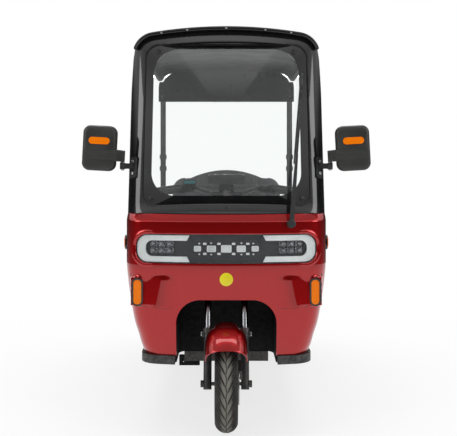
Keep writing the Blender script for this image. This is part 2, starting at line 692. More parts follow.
def panelPoint(x, y, z):
    side = abs(x)
    if side > panel["podInner"] and y < 150:
        share = clamp((side - panel["podInner"]) / (panel["podOuter"] - panel["podInner"]))
        pivot = lerp(panel["podTop"], panel["podMiddle"], ease(0.5, 1.0, share))
        face = lerp(panel["podStart"], panel["podFront"], share ** 1.3) + panel["podLean"] * (z - pivot)
        face = lerp(y, face, ease(0.0, 0.75, share))
        low = lerp(panel["podLow"][0], panel["podLow"][1], ease(0.4, 1.6, share))
        soft = lerp(22, 4, ease(0.1, 0.8, share))
        inside = ease(low - 6, low + 2, z) * (1 - ease(panel["podTop"] - soft, panel["podTop"] + soft, z))
        inside *= 1 - ease(*panel["podEnd"], side)
        y = lerp(y, min(y, face), inside)
    return place(x, y, z)


def makeFrontPanel():
    outer, inner = [], []
    low, high = floorTop + 0.3, beltZ
    shares = sorted([i / panel["rowCount"] for i in range(panel["rowCount"] + 1)] + list(panel["crease"]))
    for share in shares:
        tuck, setBack = curveRow(panel["rows"], share)
        z = low + share * (high - low)
        line = (halfBody - tuck, cornerReach, bowR, setBack, panel["back"])
        outer.append([panelPoint(x, y, z) for x, y in bowLine(*line)])
        inner.append([place(x, y, z) for x, y in bowLine(*line, panel["wall"])])
    piece = shellBetween("frontPanel", outer, inner)
    half, r, spring = panel["archHalf"], panel["archCorner"], panel["archSpring"]
    quarter = [pi / 2 * i / 20 for i in range(21)]
    arch = [(-half, panel["archLow"]), (half, panel["archLow"]), (half, spring)]
    arch += [(half - r + r * cos(a), spring + r * sin(a)) for a in quarter[1:]]
    arch += [(r - half - r * sin(a), spring + r * cos(a)) for a in quarter]
    lamp = roundRect(*panel["lampHole"], 14, 0, panel["lampAt"])
    cutters = [cutThrough("archCut", arch, panel["cutFrom"], 180)]
    cutters.append(cutThrough("lampCut", lamp, panel["cutFrom"], 160))
    for s in (-1, 1):
        turn = roundRect(*panel["turnHole"], 12, s * panel["turnAt"][0], panel["turnAt"][1])
        cutters.append(cutThrough("turnCut", turn, panel["cutFrom"], panel["turnDepth"]))
    carve(piece, cutters, smooth=32)
    softEdges(piece, 0.0018, 42)
    dress(piece, "redPaint")
    return seat(piece, "chassis", "red_paint", "front_panel")


makeFrontPanel()
print("front panel made")


# the lamp's bowed front, at a depth behind the front face
def lampPoint(x, z, depth):
    arcX = halfBody - cornerReach
    if abs(x) <= arcX:
        a = asin(abs(x) / (bowR - depth)) if abs(x) < bowR else 0
        return place(x, bowR - (bowR - depth) * cos(a), z)
    r = cornerReach / (1 - arcX / bowR)
    a0 = asin(arcX / bowR)
    cx, cy = arcX - r * sin(a0), bowR * (1 - cos(a0)) + r * cos(a0)
    return place(x, cy - sqrt(max(1, (r - depth) ** 2 - (abs(x) - cx) ** 2)), z)


# cells and dots: distance from the middle, height, width, tall; walls: growth or size, depth behind the face
lampBar = {
    "width": 798, "height": 128, "corner": 52, "middle": panel["lampAt"], "badge": (0, 2.4, 658),
    "lip": [(-7.5, -4), (-7.5, 0.5), (-5.5, 3.6), (-1, 5.2), (4, 5.2), (9, 3.2), (13.5, -0.6), (13.5, -4)],
    "cells": [(0, 0, 46, 32), (65, 0, 40, 28), (126, 0, 31, 24)],
    "dots": [(32, 22, 15, 9), (32, -22, 15, 9), (94, 22, 15, 9), (94, -22, 15, 9), (66, 25, 8, 5),
             (66, -25, 8, 5), (118, 23, 8, 5), (118, -24, 8, 5)],
    "eyes": [(dx, dz) for dx in (247, 283, 319) for dz in (-9, 19)],
    "cellWall": ((0, 25.5), (0, 13), (-1.2, 12), (-4.5, 12), (-5.5, 15), (-6, 20)),
    "cellFace": ((-6.2, 19.8), (-6.2, 17), (-7.5, 16), (-10, 16.6)),
    "dotWall": ((0, 25.5), (0, 13), (-1, 12)),
    "eyeBowl": ((32, 25), (32, 13), (30, 12), (27, 15), (18, 21), (9, 23), (8, 19), (4, 17)),
}


# stacks of rings, each closed at its front, as one piece of the lamp
def lampStacks(name, stacks, finish, *nodes):
    verts, faces = [], []
    for rings in stacks:
        base, n = len(verts), len(rings[0])
        for ring in rings:
            verts.extend(ring)
        faces.extend(gridFaces(len(rings), n, base, True))
        faces.append(tuple(range(base + (len(rings) - 1) * n, base + len(rings) * n)))
    seat(addPiece(name, verts, faces, finish, 40), "chassis", "lamp_white", *nodes)


def makeLamp():
    mid = lampBar["middle"]
    ring = roundRect(lampBar["width"] + 14, lampBar["height"] + 14, lampBar["corner"] + 7, 16, 0, mid)
    path = [lampPoint(x, z, -1.0) for x, z in ring]
    bezel = sweepPath("lampSurround", path, lampBar["lip"], (0, -1, 0), "redPaint", closed=True)
    seat(bezel, "chassis", "red_paint")

    def ringAt(x, z, w, h, corner, n, depth):
        return [lampPoint(x + u, mid + z + v, depth) for u, v in roundRect(w, h, corner, n)]

    cells, fronts, eyes = [], [], []
    for dx, dz, w, h in lampBar["cells"]:
        for x in ((0,) if dx == 0 else (-dx, dx)):
            cells.append([ringAt(x, dz, w + 2 * g, h + 2 * g, max(1.0, 5 + g / 2), 4, d)
                          for g, d in lampBar["cellWall"]])
            fronts.append([ringAt(x, dz, w + 2 * g, h + 2 * g, 2, 4, d) for g, d in lampBar["cellFace"]])
    for dx, dz, w, h in lampBar["dots"]:
        for x in (-dx, dx):
            cells.append([ringAt(x, dz, w + 2 * g, h + 2 * g, 2, 3, d) for g, d in lampBar["dotWall"]])
    for dx, dz in lampBar["eyes"]:
        for x in (-dx, dx):
            eyes.append([ringAt(x, dz, w, w * 0.8, w * 0.22, 5, d) for w, d in lampBar["eyeBowl"]])
    lampStacks("lampCells", cells, "lampWhite", "lamp_leds")
    lampStacks("lampCellFaces", fronts, "cellFace")
    lampStacks("lampEyes", eyes, "reflector")
    turnedSet("frontBadge", ("chassis", "yellow", "badge"), "yellow", 48,
              [(place(*lampBar["badge"]), (0, -1, 0))], [(29, -2), (29, 1.8), (28, 2.9), (26, 3.2), (0.05, 3.3)])


makeLamp()
print("lamp bar made")

# windscreen frame, glass and their small parts
screen = {
    "flare": 4.2, "flareRows": (0.004, 0.009, 0.014, 0.02, 0.027, 0.035, 0.044, 0.055), "flareHeight": 52,
    "halfWidth": 447, "reach": 62, "depth": 245, "wall": 18, "rows": 90,
    "glassWidth": 754, "glassLow": 986, "glassHigh": 1727, "glassCorner": 58, "glassFront": 4, "glassWall": 6,
    "clearWidth": 672, "clearLow": 1026, "clearHigh": 1702, "clearCorner": 112,
    "buttons": [(-338, 1020), (338, 1020), (-316, 1694), (316, 1694)],
    "screws": [(0, 968), (-368, 962), (368, 962)],
    # height and half width of the shoulders
    "shoulders": [(0, 460), (1214, 460), (1600, 441), (1660, 438), (1705, 431)],
}

roofForm = {
    "front": 205, "back": 1700, "halfWidth": 442, "reach": 95, "bow": 2900, "drop": 90, "lip": 16, "wall": 22,
    "ribs": (-240, -120, 0, 120, 240), "ribHeight": 5.5, "screws": (-300, -180, 0, 180, 300),
}


def upScreen(z):
    return (z - beltZ) / cos(lean)


# corner of the roof's bow: where it starts, its radius and middle
def roofCorner():
    arcX = roofForm["halfWidth"] - roofForm["reach"]
    a0 = asin(arcX / roofForm["bow"])
    r = roofForm["reach"] / (1 - arcX / roofForm["bow"])
    return a0, r, arcX - r * sin(a0), roofForm["bow"] * (1 - cos(a0)) + r * cos(a0)


# the bow from edge to edge, as distances from the middle and drops below the top
def roofBow(inset=0.0, steps=(60, 26)):
    a0, r, cx, cy = roofCorner()
    bow = roofForm["bow"]
    last = acos((cy - roofForm["drop"]) / (r - inset))
    arc = [a0 * i / steps[0] for i in range(steps[0] + 1)]
    half = [((bow - inset) * sin(a), bow - (bow - inset) * cos(a)) for a in arc]
    for i in range(1, steps[1] + 1):
        a = lerp(a0, last, i / steps[1])
        half.append((cx + (r - inset) * sin(a), cy - (r - inset) * cos(a)))
    return [(-x, d) for x, d in reversed(half[1:])] + half


# drop of the bow below the roof's top at a distance from the middle
def roofLine(x, inset=0.0):
    a0, r, cx, cy = roofCorner()
    if x <= (roofForm["bow"] - inset) * sin(a0):
        return roofForm["bow"] - sqrt((roofForm["bow"] - inset) ** 2 - x * x)
    return min(roofForm["drop"] + 1, cy - sqrt(max(0, (r - inset) ** 2 - (x - cx) ** 2)))


# half width of the frame's shoulders at a height
def shoulder(z):
    rows = screen["shoulders"]
    for (a, p), (b, q) in zip(rows, rows[1:]):
        if z <= b:
            return lerp(p, q, (z - a) / (b - a))
    return rows[-1][1]


def glassRing(width, low, high, corner, n=18):
    low, high = upScreen(low), upScreen(high)
    return roundRect(width, high - low, corner, n, 0, (low + high) / 2)


def screenPoint(x, z, depth):
    return onScreen(x, bowR - sqrt((bowR - depth) ** 2 - x * x), z)


def makeScreen():
    grids = []
    shares = sorted([i / screen["rows"] for i in range(screen["rows"] + 1)] + list(screen["flareRows"]))
    for inset in (0, screen["wall"]):
        line = bowLine(screen["halfWidth"], screen["reach"], bowR, 0, screen["depth"], inset, (56, 24, 10))
        grid = []
        for share in shares:
            row = []
            for x, y in line:
                low = (0.3 + y * sin(lean)) / cos(lean)
                top = roofTop - roofLine(min(abs(x), 410), roofForm["lip"] + 0.3)
                up = lerp(low, (top - beltZ + y * sin(lean)) / cos(lean), share)
                most = shoulder(beltZ - y * sin(lean) + up * cos(lean)) - inset / 3
                swell = clamp(1 - (up - low) / screen["flareHeight"]) ** 2 * (1 - ease(395, 445, abs(x)))
                flare = 0 if inset else screen["flare"] * swell
                row.append(onScreen(clamp(x, -most, most), y - flare, up))
            grid.append(row)
        grids.append(grid)
    piece = shellBetween("windscreenSurround", grids[0], grids[1])
    low, high, corner = screen["glassLow"], screen["glassHigh"], screen["glassCorner"]
    ring = glassRing(screen["glassWidth"], low, high, corner)
    cut = prism("glassCut", [onScreen(x, -20, z) for x, z in ring], [onScreen(x, 120, z) for x, z in ring])
    carve(piece, [cut], smooth=30)
    softEdges(piece, 0.0025, 45)
    dress(piece, "blackGloss")
    seat(piece, "chassis", "black_gloss", "windscreen_frame")

    edge = glassRing(screen["glassWidth"] - 1, low + 0.5, high - 0.5, corner)
    clear = glassRing(screen["clearWidth"], screen["clearLow"], screen["clearHigh"], screen["clearCorner"])
    front, back = screen["glassFront"], screen["glassFront"] + screen["glassWall"]

    def ringAt(share, depth):
        return [screenPoint(lerp(a, c, share), lerp(b, d, share), depth) for (a, b), (c, d) in zip(edge, clear)]

    border = [[ringAt(i / 6, depth) for i in range(7)] for depth in (front, back)]
    seat(shellBetween("glassBorder", *border, "blackGloss", 40, True), "chassis", "black_gloss")
    cz = (clear[0][1] + clear[len(clear) // 2][1]) / 2
    verts = []
    shares = [1 - i / 14 for i in range(14)] + [0.004]
    for depth in (front + 0.05, back - 0.05):
        for share in shares:
            verts += [screenPoint(x * share, cz + (z - cz) * share, depth) for x, z in clear]
    cols, rows = len(clear), len(shares)
    faces = gridFaces(rows, cols, 0, True) + gridFaces(rows, cols, rows * cols, True)
    faces += [(c, (c + 1) % cols, rows * cols + (c + 1) % cols, rows * cols + c) for c in range(cols)]
    for first in ((rows - 1) * cols, (2 * rows - 1) * cols):
        faces.append(tuple(range(first, first + cols)))
    seat(addPiece("glassPane", verts, faces, "glass", 40), "chassis", "glass", "windscreen")

    around = glassRing(screen["glassWidth"] + 2, low - 1, high + 1, corner + 1)
    seal = sweepPath("glassSeal", [screenPoint(x, z, 1.5) for x, z in around], circleOutline(4.2, 10),
                     (0, -cos(lean), sin(lean)), "rubber", closed=True)
    seat(seal, "chassis", "rubber")

    def standing(places, depth):
        return [(screenPoint(x, upScreen(z), depth), (x / bowR, -cos(lean), sin(lean))) for x, z in places]

    turnedSet("glassButtons", ("chassis", "black_matte"), "blackMatte", 28, standing(screen["buttons"], front),
              [(12.5, -1), (12.5, 2.2), (11.6, 3.6), (9.5, 4.8), (6, 5.6), (0.05, 6)])
    turnedSet("frameScrews", ("chassis", "black_matte"), "darkSteel", 20, standing(screen["screws"], -0.2),
              screwProfile(6.5, 3.2))


makeScreen()
print("windscreen made")


def makeRoof():
    bow = roofBow()
    plan = bowLine(roofForm["halfWidth"] + 17, 60, bowR, roofForm["front"], 900, 0, (60, 26, 3))

    def frontEdge(x):
        x = abs(x)
        for (a, p), (b, q) in zip(plan, plan[1:]):
            if a <= x <= b:
                return p if b == a else lerp(p, q, (x - a) / (b - a))
        return plan[-1][1]

    shares = [0, 0.004, 0.01, 0.02] + [0.03 + 0.94 * i / 56 for i in range(57)] + [0.98, 0.99, 0.996, 1]
    grids = []
    for top in (True, False):
        grid = []
        for share in shares:
            inset = lerp(roofForm["lip"], roofForm["wall"], ease(0.2, 0.35, share))
            row = []
            for x, d in bow if top else roofBow(inset):
                y = lerp(frontEdge(x), roofForm["back"], share)
                lift = 0.0
                if top and abs(x) < 300:
                    for r in roofForm["ribs"]:
                        lift += roofForm["ribHeight"] * (1 - ease(9, 21, abs(x - r)))
                    lift *= ease(330, 380, y) * (1 - ease(1560, 1610, y))
                if top:
                    lift -= 1.8 * (1 - ease(0, 0.01, min(share, 1 - share)))
                row.append(place(x, y, roofTop - d + lift))
            grid.append(row)
        grids.append(grid)
    piece = shellBetween("roofShell", grids[0], grids[1], "roofSatin", 32)
    seat(piece, "chassis", "black_gloss", "roof")
    lip = [place(x, frontEdge(x) - 0.5, roofTop - d) for x, d in roofBow(7.8, (30, 16))]
    outline = [(-7.5, -1.8), (-7.5, 0.8), (-6, 1.8), (6, 1.8), (7.5, 0.8), (7.5, -1.8)]
    seat(sweepPath("roofLip", lip, outline, (0, -1, 0), "blackGloss"), "chassis", "black_matte")
    heads = [place(x, frontEdge(x) - 2.6, roofTop - roofLine(abs(x)) - 10.5) for x in roofForm["screws"]]
    turnedSet("roofScrews", ("chassis", "steel"), "steel", 16, [(p, (0, -1, 0)) for p in heads],
              screwProfile(5.0, 2.6))
    posts = [place(s * 402, 1652, z) for s in (-1, 1) for z in (1600, 1640)]
    turnedSet("postBolts", ("chassis", "frame_paint"), "darkSteel", 18, [(p, (0, -1, 0)) for p in posts],
              screwProfile(8, 5))


makeRoof()
print("roof made")

# mudguard about the front axle, wide ahead of the fork legs and narrow behind them
guard = {"radius": 265, "wall": 5, "wide": 90, "narrow": 59.7, "tip": -46, "rear": 66, "skirtWide": 167,
         "skirtNarrow": 213, "crown": 78, "crownNarrow": 46}


def guardRow(angle, inset):
    turn = ease(-13, -5, angle)
    half = lerp(guard["wide"], guard["narrow"], turn) - inset
    low = lerp(guard["skirtWide"], guard["skirtNarrow"], turn)
    ends = ease(guard["tip"], guard["tip"] + 9, angle)
    low += 16 * (1 - ends)
    crown = lerp(guard["crown"], guard["crownNarrow"], turn)
    top = guard["radius"] - inset
    row = []
    for i in range(6):
        row.append((-half, lerp(low, top - crown, i / 6)))
    for i in range(33):
        t = pi * i / 32
        c, s = cos(t), sin(t)
        p = 2 / 2.5
        row.append((-half * abs(c) ** p * (1 if c > 0 else -1), top - crown + crown * abs(s) ** p))
    for i in range(1, 7):
        row.append((half, lerp(top - crown, low, i / 6)))
    a = radians(angle)
    return [place(x, r * sin(a), axleZ + r * cos(a)) for x, r in row]


def makeMudguard():
    angles = [guard["tip"] + (guard["rear"] - guard["tip"]) * i / 76 for i in range(77)]
    outer, inner = [[guardRow(a, inset) for a in angles] for inset in (0, guard["wall"])]
    piece = shellBetween("frontMudguard", outer, inner, "redPaint", 40)
    softEdges(piece, 0.0012, 50)
    seat(piece, "steering", "red_paint", "front_mudguard")
    places = [(onSteering(s * 109, -35, z), (s, 0, 0)) for s in (-1, 1) for z in (211, 221)]
    turnedSet("guardBolts", ("steering", "steel"), "steel", 14, places, screwProfile(5, 4))


makeMudguard()
print("mudguard made")

# the side wall is distance from the axle and from the wheel's middle
tyreForm = {
    "radius": 205, "crown": 52, "half": 49, "around": 432, "across": 46, "pitch": 26, "depth": 4.6,
    "side": [(140.2, 30.4), (141, 34), (145, 40.5), (150, 45), (156, 47.8), (162, 49), (166, 49.4),
             (168.5, 49.5)],
    "bead": [(128, 30.2), (128, -30.2)],
}


def treadDepth(turn, s):
    side = 1 if s >= 0 else -1
    a = abs(s)
    deep = 0.0
    if a < 0.9:
        wave = turn * tyreForm["pitch"] / (2 * pi) + (0.5 if side < 0 else 0.0)
        lane = wave + 2.5 * a ** 0.9
        near = abs(lane - floor(lane) - 0.5)
        long = 1 - ease(0.09, 0.17, near)
        deep = max(deep, long * ease(0.07, 0.16, a) * (1 - ease(0.76, 0.88, a)))
        lane2 = wave + 0.5 + 2.5 * a ** 0.9
        near2 = abs(lane2 - floor(lane2) - 0.5)
        short = 1 - ease(0.05, 0.11, near2)
        deep = max(deep, 0.8 * short * ease(0.36, 0.44, a) * (1 - ease(0.82, 0.9, a)))
    zig = 0.035 * sin(turn * tyreForm["pitch"])
    deep = max(deep, 0.75 * (1 - ease(0.018, 0.04, abs(s - zig))))
    return deep


def makeTyre(name, node, body, middle):
    top = asin(tyreForm["half"] / tyreForm["crown"])
    core = tyreForm["radius"] - tyreForm["crown"]
    side = tyreForm["side"]
    verts, rub = [], []
    n = tyreForm["around"]
    for i in range(n):
        turn = 2 * pi * i / n
        ring = [(r, -x) for r, x in side]
        rub += [0.0] * len(side)
        for j in range(tyreForm["across"] + 1):
            s = 2 * j / tyreForm["across"] - 1
            deep = treadDepth(turn, s)
            reach = tyreForm["crown"] - tyreForm["depth"] * deep
            ring.append((core + reach * cos(s * top), reach * sin(s * top)))
            rub.append((1 - deep) ** 2 * (1 - ease(0.16, 0.5, abs(s))))
        ring += list(reversed(side)) + tyreForm["bead"]
        rub += [0.0] * (len(side) + 2)
        verts += [place(middle[0] + x, middle[1] - r * sin(turn), middle[2] + r * cos(turn)) for r, x in ring]
    piece = addPiece(name, verts, gridFaces(n, len(verts) // n, 0, True, True), "tyreRubber", 38)
    piece.data.attributes.new("crown", "FLOAT", "POINT").data.foreach_set("value", rub)
    return seat(piece, body, "tyre", node)


# wheels: body, middle across and along, side that the valve and nuts face
wheels = {"rear": [("rear_wheel_left", 380, wheelBase, 1), ("rear_wheel_right", -380, wheelBase, -1)],
          "front": [("front_wheel", 0, 0, -1)], "nutCircle": 29, "discCircle": 24}


def makeWheels():
    makeTyre("frontTread", "front_tyre", "front_wheel", (0, 0, axleZ))
    makeTyre("rearTreadLeft", "rear_tyre_left", "rear_wheel_left", (380, wheelBase, axleZ))
    makeTyre("rearTreadRight", "rear_tyre_right", "rear_wheel_right", (-380, wheelBase, axleZ))

    def boltCircle(x, y, r, count, start, facing):
        angles = [2 * pi * i / count + start for i in range(count)]
        return [(place(x, y + r * cos(a), axleZ + r * sin(a)), (facing, 0, 0)) for a in angles]

    for body, x, y, s in wheels["rear"]:
        turnedSet("wheelNuts_" + body, (body, "steel"), "steel", 6,
                  boltCircle(x + s * 36, y, wheels["nutCircle"], 4, 0.4, s),
                  [(6.5, -1), (6.5, 6), (5, 7.5), (3, 7.6), (3, 10), (0.05, 10.4)])
    for body, x, y, s in wheels["rear"] + wheels["front"]:
        turnedSet("valve_" + body, (body, "rubber"), "rubber", 14,
                  [(place(x + s * 20, y + 58, axleZ + 100.4), (s * 0.9, -0.25, -0.43))],
                  [(4.5, -4), (4.5, 10), (3, 12), (3, 26), (3.6, 27), (3.6, 34), (0.05, 34.5)])
    turnedSet("discBolts", ("front_wheel", "steel"), "steel", 14,
              boltCircle(55.8, 0, wheels["discCircle"], 5, 0, 1), screwProfile(4.5, 3.4))


makeWheels()
print("wheels made")

# rear body: rows are height above the sill, tuck of the sides, and cuts at the front and back
rear = {
    "rows": [(30, 26, 0, 0), (80, 8, 0, 0), (150, 0, 0, 0), (300, 0, 0, 0), (370, 4, 4, 6), (410, 12, 12, 22),
             (430, 22, 20, 36)],
    "front": 1165, "back": 1900, "deck": 700, "wall": 14, "arch": 245, "corner": 60, "floorLow": 270,
    "tailHole": (46.6, 150.6, 14), "tailAt": (356, 520), "tailDepth": 1889.7,
    "lip": [(-7, -8), (7, -8), (8, 0), (5, 6), (0, 8), (-5, 6), (-8, 0)],
}


def rearRing(step, inset, z, crease=0.0):
    tuck, cutFront, cutBack = curveRow(rear["rows"], step)
    w = 2 * halfBody - 2 * tuck - 2 * inset
    length = rear["back"] - rear["front"] - cutFront - cutBack - 2 * inset
    y = (rear["front"] + rear["back"] + cutFront - cutBack) / 2
    corner = rear["corner"] - inset
    flatX, flatY = w / 2 - corner, length / 2 - corner
    signs = ((1, 1), (-1, 1), (-1, -1), (1, -1))
    pts = []
    for q, (sx, sy) in enumerate(signs):
        for i in range(15):
            a = pi / 2 * (q + i / 14)
            pts.append((sx * flatX + corner * cos(a), sy * flatY + corner * sin(a)))
        ax, ay = pts[-1]
        nextX, nextY = signs[(q + 1) % 4]
        bx, by = (nextX * flatX, ay) if q in (0, 2) else (ax, nextY * flatY)
        span = 22
        pts += [(lerp(ax, bx, i / span), lerp(ay, by, i / span)) for i in range(1, span)]
    out = []
    for px, py in pts:
        pull = crease if abs(px) > w / 2 - 3 else 0
        out.append(place(px - (1 if px > 0 else -1) * pull, y + py, z))
    return out


def makeRearBody():
    outer, inner = [], []
    steps = [30 + 400 * i / 84 for i in range(85)]
    for step in steps:
        z = rear["floorLow"] + step * (rear["deck"] - rear["floorLow"]) / 430
        groove = 5.0 * (1 - ease(5, 10, abs(z - 560))) + 3.0 * (1 - ease(2, 5, abs(z - 330)))
        outer.append(rearRing(step, 0, z, groove))
        under = min(z, rear["deck"] - rear["wall"]) - (2 if step == 30 else 0)
        inner.append(rearRing(step, rear["wall"], under))
    cols = len(outer[0])
    mid = place(0, (rear["front"] + rear["back"]) / 2, 0)
    for grid, z in ((outer, rear["deck"]), (inner, rear["deck"] - rear["wall"])):
        top = grid[-1]
        for share in (0.97, 0.8, 0.5, 0.2, 0.01):
            grid.append([Vector((lerp(mid.x, p.x, share), lerp(mid.y, p.y, share), z / 1000)) for p in top])
    verts = [p for row in outer for p in row] + [p for row in inner for p in row]
    rows = len(outer)
    n = rows * cols
    faces = gridFaces(rows, cols, 0, True) + gridFaces(rows, cols, n, True)
    faces += [(c, (c + 1) % cols, n + (c + 1) % cols, n + c) for c in range(cols)]
    faces.append(tuple(range((rows - 1) * cols, rows * cols)))
    faces.append(tuple(range(n + (rows - 1) * cols, n + rows * cols)))
    piece = addPiece("rearBody", verts, faces)
    wheelHole = [(wheelBase + a, axleZ + b) for a, b in circleOutline(rear["arch"], 96)]
    cutters = [prism("archCut", *([place(x, y, z) for y, z in wheelHole] for x in (-600, 600)))]
    for s in (-1, 1):
        lamp = roundRect(*rear["tailHole"], 8, s * rear["tailAt"][0], rear["tailAt"][1])
        cutters.append(cutThrough("tailCut", lamp, rear["tailDepth"], 1920))
    carve(piece, cutters, smooth=32)
    softEdges(piece, 0.002, 45)
    dress(piece, "redPaint")
    seat(piece, "chassis", "red_paint", "rear_body")
    for s in (-1, 1):
        low = asin((300 - axleZ) / (rear["arch"] + 7))
        path = []
        for i in range(49):
            a = lerp(low, pi - low, i / 48)
            y, z = wheelBase + (rear["arch"] + 6) * cos(a), axleZ + (rear["arch"] + 6) * sin(a)
            tuck = curveRow(rear["rows"], clamp((z - rear["floorLow"]), 30, 430))[0]
            path.append(place(s * (halfBody - tuck + 1), y, z))
        lip = sweepPath("archLip_" + sideName(s), path, rear["lip"], (s, 0, 0), "blackMatte")
        seat(lip, "chassis", "black_matte")
    rim = [place(x, 1900.6, z) for x, z in roundRect(470, 60, 20, 8, 0, 470)]
    handle = sweepPath("bootTrim", rim, circleOutline(3.2, 8), (0, 1, 0), "blackMatte", closed=True)
    seat(handle, "chassis", "black_matte")


makeRearBody()
print("rear body made")

# padded seats
pads = {
    "driverCushion": {"size": (508, 352, 86), "at": (0, 760, 689.6), "tilt": 0.0, "round": 30, "cap": 9,
                      "node": "driver_cushion", "lines": [("y", -110), ("y", 0), ("y", 110)], "fill": 0.75},
    "driverBackrest": {"size": (458, 424, 60), "at": (0, 1013, 846), "tilt": 82.0, "round": 26, "cap": 8,
                       "node": "driver_back", "lines": [("y", -90), ("y", 0), ("y", 90)], "fill": 0.75},
    "benchCushion": {"size": (788, 384, 92), "at": (0, 1379, 752.6), "tilt": 0.0, "round": 32, "cap": 9,
                     "node": "rear_cushion", "fill": 0.8,
                     "lines": [("y", -120), ("y", 0), ("y", 120), ("x", -4), ("x", 4)]},
}
stitchPitch, seamHalf, castFrom = 9, 9, 0.2


def padSpace(pad):
    t = radians(pad["tilt"])
    cx, cy, cz = pad["at"]
    return lambda a, b, c: place(cx + a, cy + b * cos(t) - c * sin(t), cz + b * sin(t) + c * cos(t))


def roundedBlock(name, size, r, toPlace, step=14):
    counts = [max(4, int(s / step)) for s in size]
    seen, verts, faces = {}, [], []

    def corner(i, j, k):
        key = (i, j, k)
        if key not in seen:
            p = [size[a] * (t / counts[a] - 0.5) for a, t in enumerate(key)]
            core = [clamp(p[a], -(size[a] / 2 - r), size[a] / 2 - r) for a in range(3)]
            d = Vector([p[a] - core[a] for a in range(3)])
            d = d.normalized() * r if d.length > 0 else d
            seen[key] = len(verts)
            verts.append(toPlace(*(core[a] + d[a] for a in range(3))))
        return seen[key]

    for axis in range(3):
        u, v = [a for a in range(3) if a != axis]
        for end in (0, counts[axis]):
            for i in range(counts[u]):
                for j in range(counts[v]):
                    quad = []
                    for di, dj in ((0, 0), (1, 0), (1, 1), (0, 1)):
                        key = [0, 0, 0]
                        key[axis], key[u], key[v] = end, i + di, j + dj
                        quad.append(corner(*key))
                    faces.append(tuple(quad))
    return addPiece(name, verts, faces, None, 180)


def puff(piece, cap):
    remesh = piece.modifiers.new("remesh", "REMESH")
    remesh.mode = "VOXEL"
    remesh.voxel_size = 0.0075
    bake(piece)
    start = [v.co.copy() for v in piece.data.vertices]
    cloth = piece.modifiers.new("cloth", "CLOTH")
    cloth.settings.use_pressure = True
    cloth.settings.uniform_pressure_force = 4
    cloth.settings.quality = 4
    cloth.settings.effector_weights.gravity = 0
    cloth.point_cache.frame_end = 20
    for f in range(1, 21):
        scene.frame_set(f)
    bake(piece)
    scene.frame_set(1)
    for v, p in zip(piece.data.vertices, start):
        move = v.co - p
        if move.length > cap / 1000:
            v.co = p + move.normalized() * (cap / 1000)
    finer = piece.modifiers.new("finer", "SUBSURF")
    finer.levels = finer.render_levels = 1
    bake(piece)


def sewChannels(piece, lines, toLocal, reach, depth=5.0):
    for v in piece.data.vertices:
        a, b, c = toLocal(v.co)
        if c < 0:
            continue
        dip = 0.0
        for axis, at in lines:
            d = abs((b if axis == "x" else a) - at)
            dip = max(dip, exp(-(d / 7.0) ** 2))
        crown = (1 - (a / reach[0]) ** 2) * (1 - (b / reach[1]) ** 2)
        v.co = v.co + toLocal.up * ((-depth * dip + 3.0 * max(0, crown) * ease(0, 20, c)) / 1000)
    piece.data.update()


# a pad's own directions: across, up its length and out of its face
class PadFrame:
    def __init__(self, pad):
        self.origin = place(*pad["at"])
        t = radians(pad["tilt"])
        self.side = Vector((1, 0, 0))
        self.back, self.up = Vector((0, cos(t), sin(t))), Vector((0, -sin(t), cos(t)))

    def __call__(self, p):
        d = (p - self.origin) * 1000
        return d.dot(self.side), d.dot(self.back), d.dot(self.up)

    # where a line down through the face at a place meets the pad, and the way it faces there
    def touch(self, tree, a, b):
        start = self.origin + self.side * a / 1000 + self.back * b / 1000 + self.up * castFrom
        return tree.ray_cast(start, -self.up)[:2]


def stitchLine(verts, faces, tree, pad, points):
    for p, q in zip(points, points[1:]):
        (u, n), (w, _) = pad.touch(tree, *p), pad.touch(tree, *q)
        if u is None or w is None:
            continue
        along = w - u
        u, w = u + along * 0.18, w - along * 0.18
        side = along.cross(n).normalized()
        base = len(verts)
        for centre, wide in ((u, 0.35), ((u + w) / 2, 0.8), (w, 0.35)):
            for ds, dn in ((1, -0.4), (0.6, 0.7), (-0.6, 0.7), (-1, -0.4)):
                verts.append(centre + side * ds * wide * 0.0011 + n * dn * wide * 0.0011)
        faces.extend(gridFaces(3, 4, base, True))
        faces.append((base, base + 1, base + 2, base + 3))
        faces.append((base + 8, base + 9, base + 10, base + 11))


def makePads():
    for name, pad in pads.items():
        piece = roundedBlock(name, pad["size"], pad["round"], padSpace(pad))
        puff(piece, pad["cap"])
        local = PadFrame(pad)
        reach = (pad["size"][0] / 2 + 8, pad["size"][1] / 2 + 8)
        sewChannels(piece, pad["lines"], local, reach)
        shade(piece, 180)
        dress(piece, "seatVinyl")
        seat(piece, "chassis", "seat", pad["node"])
        tree = BVHTree.FromObject(piece, bpy.context.evaluated_depsgraph_get())
        verts, faces = [], []
        w, d = pad["size"][0] / 2 - 34, pad["size"][1] / 2 - 34
        for axis, at in pad["lines"]:
            half = d if axis == "y" else w
            for off in (-seamHalf, seamHalf):
                run = [-half + stitchPitch * i for i in range(int(2 * half / stitchPitch))]
                pts = [(at + off, v) if axis == "y" else (v, at + off) for v in run]
                stitchLine(verts, faces, tree, local, pts)
        seat(addPiece(name + "Stitches", verts, faces, "thread", 60), "chassis", "seat")
        ring = roundRect(pad["size"][0] - 20, pad["size"][1] - 20, pad["round"] - 4, 10)
        path = []
        for i in range(len(ring)):
            (a0, b0), (a1, b1) = ring[i], ring[(i + 1) % len(ring)]
            span = max(1, int(sqrt((a1 - a0) ** 2 + (b1 - b0) ** 2) / 16))
            for k in range(span):
                hit = local.touch(tree, lerp(a0, a1, k / span), lerp(b0, b1, k / span))[0]
                if hit is not None:
                    path.append(hit + local.up * 0.0005)
        piping = sweepPath(name + "Piping", path, circleOutline(3.4, 8), local.up, "seatVinyl", closed=True)
        seat(piping, "chassis", "seat")


makePads()


